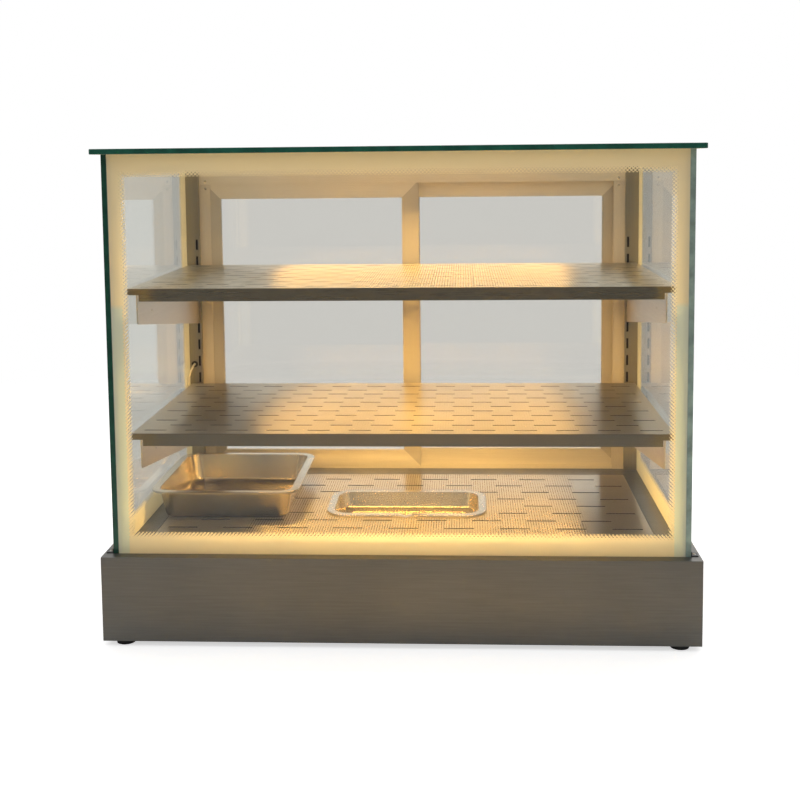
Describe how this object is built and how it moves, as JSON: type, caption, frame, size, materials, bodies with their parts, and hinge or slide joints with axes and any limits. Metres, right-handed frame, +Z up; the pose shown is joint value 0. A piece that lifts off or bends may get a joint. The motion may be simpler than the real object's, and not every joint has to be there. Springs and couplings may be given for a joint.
{
  "type": "hot food display case",
  "caption": "Countertop heated display case: glass box with slotted shelves and deck, rear sliding glass doors, lit levels, pans and a heated stainless base.",
  "frame": {"origin": "on the surface the case stands on, at the middle of its outline", "axes": "+X to the right seen from the front (the long side), +Y from the front glass to the sliding doors, +Z up"},
  "size_m": [0.9, 0.6, 0.751],
  "materials": {
    "brushed_steel": "dark vertical-brushed stainless, satin",
    "galvanised_steel": "matt galvanised sheet",
    "deck_steel": "brushed stainless, brushed left to right",
    "shelf_steel": "brushed stainless, brushed left to right",
    "bracket_steel": "brushed stainless, matt",
    "upright_steel": "brushed stainless",
    "rubber": "matt black rubber",
    "fixed_glass": "clear float glass, polished green edges, printed cream border",
    "door_glass": "clear glass",
    "aluminium": "satin anodised",
    "silicone": "translucent silicone",
    "dark_clip": "black",
    "screw_steel": "zinc plated",
    "nylon": "natural nylon",
    "pull_plastic": "black",
    "pan_steel": "pressed stainless, semi-bright",
    "element_sheath": "dark sheathed heating element",
    "clamp_steel": "plain",
    "insulation": "mineral wool board",
    "black_plastic": "black, fine texture",
    "red_rocker": "translucent red",
    "green_rocker": "translucent green",
    "amber_lens": "translucent amber",
    "control_plate": "brushed stainless",
    "driver_case": "pressed aluminium case",
    "led_board": "white circuit board",
    "white_lead": "white PVC"
  },
  "bodies": {
    "case": {"base_bottom_plate": "galvanised_steel", "base_front_panel": "brushed_steel", "base_left_panel": "brushed_steel", "base_rear_panel": "brushed_steel", "base_right_panel": "brushed_steel", "base_screws": "screw_steel", "cable_gland": "black_plastic", "control_plate": "control_plate", "deck_ledges": "galvanised_steel", "deck_plate": "deck_steel", "door_header": "aluminium", "door_sill": "aluminium", "frame_screws": "screw_steel", "front_glass": "fixed_glass", "glass_joints": "silicone", "heater_clamps": "clamp_steel", "heater_tray": "galvanised_steel", "heating_element": "element_sheath", "indicator_lamp": "amber_lens", "insulation_slab": "insulation", "lead_grommets": "rubber", "led_driver": "driver_case", "left_glass": "fixed_glass", "left_jamb": "aluminium", "left_upright": "upright_steel", "light_channels": "aluminium", "light_leads": "white_lead", "light_strips": "led_board", "lower_left_bracket": "bracket_steel", "lower_right_bracket": "bracket_steel", "lower_shelf": "shelf_steel", "pane_foot_clips": "dark_clip", "right_glass": "fixed_glass", "right_jamb": "aluminium", "right_upright": "upright_steel", "rubber_feet": "rubber", "switch_housings": "black_plastic", "terminal_block": "nylon", "thermostat_body": "black_plastic", "thermostat_bulb": "clamp_steel", "top_glass": "fixed_glass", "upper_left_bracket": "bracket_steel", "upper_right_bracket": "bracket_steel", "upper_shelf": "shelf_steel"},
    "left_door": {"left_door_stiles": "aluminium", "left_door_rails": "aluminium", "left_door_glass": "door_glass", "left_door_glides": "nylon", "left_door_pull": "pull_plastic"},
    "right_door": {"right_door_stiles": "aluminium", "right_door_rails": "aluminium", "right_door_glass": "door_glass", "right_door_glides": "nylon", "right_door_pull": "pull_plastic"},
    "knob": {"thermostat_knob": "black_plastic"},
    "heater_rocker": {"heater_switch_rocker": "red_rocker"},
    "light_rocker": {"light_switch_rocker": "green_rocker"},
    "food_pan": {"food_pan": "pan_steel"},
    "water_pan": {"water_pan": "pan_steel"}
  },
  "joints": [
    {"name": "left_door_slide", "type": "slide", "parent": "case", "child": "left_door", "axis": [1, 0, 0], "range_m": [0, 0.375]},
    {"name": "right_door_slide", "type": "slide", "parent": "case", "child": "right_door", "axis": [-1, 0, 0], "range_m": [0, 0.375]},
    {"name": "thermostat_turn", "type": "hinge", "parent": "case", "child": "knob", "pos_m": [0.28, 0.29, 0.076], "axis": [0, 1, 0], "range_deg": [0, 270]},
    {"name": "heater_switch_rock", "type": "hinge", "parent": "case", "child": "heater_rocker", "pos_m": [0.335, 0.2815, 0.076], "axis": [1, 0, 0], "range_deg": [-16, 0]},
    {"name": "light_switch_rock", "type": "hinge", "parent": "case", "child": "light_rocker", "pos_m": [0.365, 0.2815, 0.076], "axis": [1, 0, 0], "range_deg": [-16, 0]},
    {"name": "food_pan_slide", "type": "slide", "parent": "case", "child": "food_pan", "axis": [0, 1, 0], "range_m": [-0.15, 0.06]},
    {"name": "water_pan_lift", "type": "slide", "parent": "case", "child": "water_pan", "axis": [0, 0, 1], "range_m": [0, 0.135]}
  ]
}
